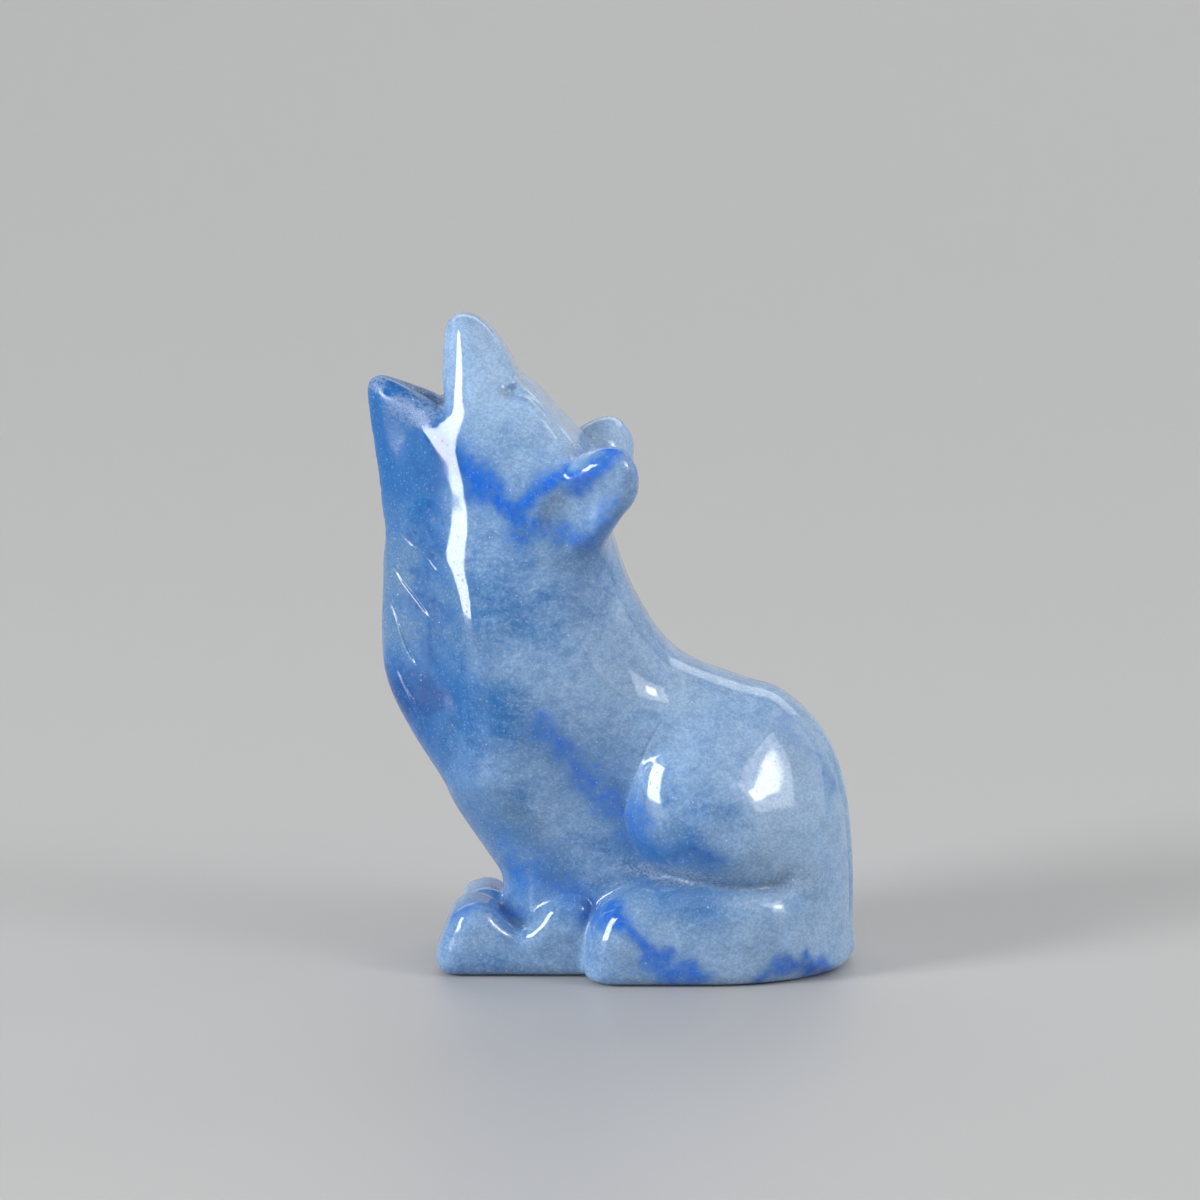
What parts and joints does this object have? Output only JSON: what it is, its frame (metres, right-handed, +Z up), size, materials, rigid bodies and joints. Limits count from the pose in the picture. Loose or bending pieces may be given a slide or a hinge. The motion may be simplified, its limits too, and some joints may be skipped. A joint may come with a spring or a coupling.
{
  "type": "gemstone wolf figurine",
  "caption": "Wolf sitting on its haunches with its head thrown back to howl, one solid carved and polished blue stone that stands on its flat underside.",
  "frame": {"origin": "on the table, under the middle of the figure's box", "axes": "+X from the chest to the rump, +Y out of the animal's right side, +Z up"},
  "size_m": [0.0368, 0.0192, 0.0498],
  "materials": {
    "stone": "polished"
  },
  "bodies": {
    "root": {"wolf": "stone"}
  },
  "joints": []
}
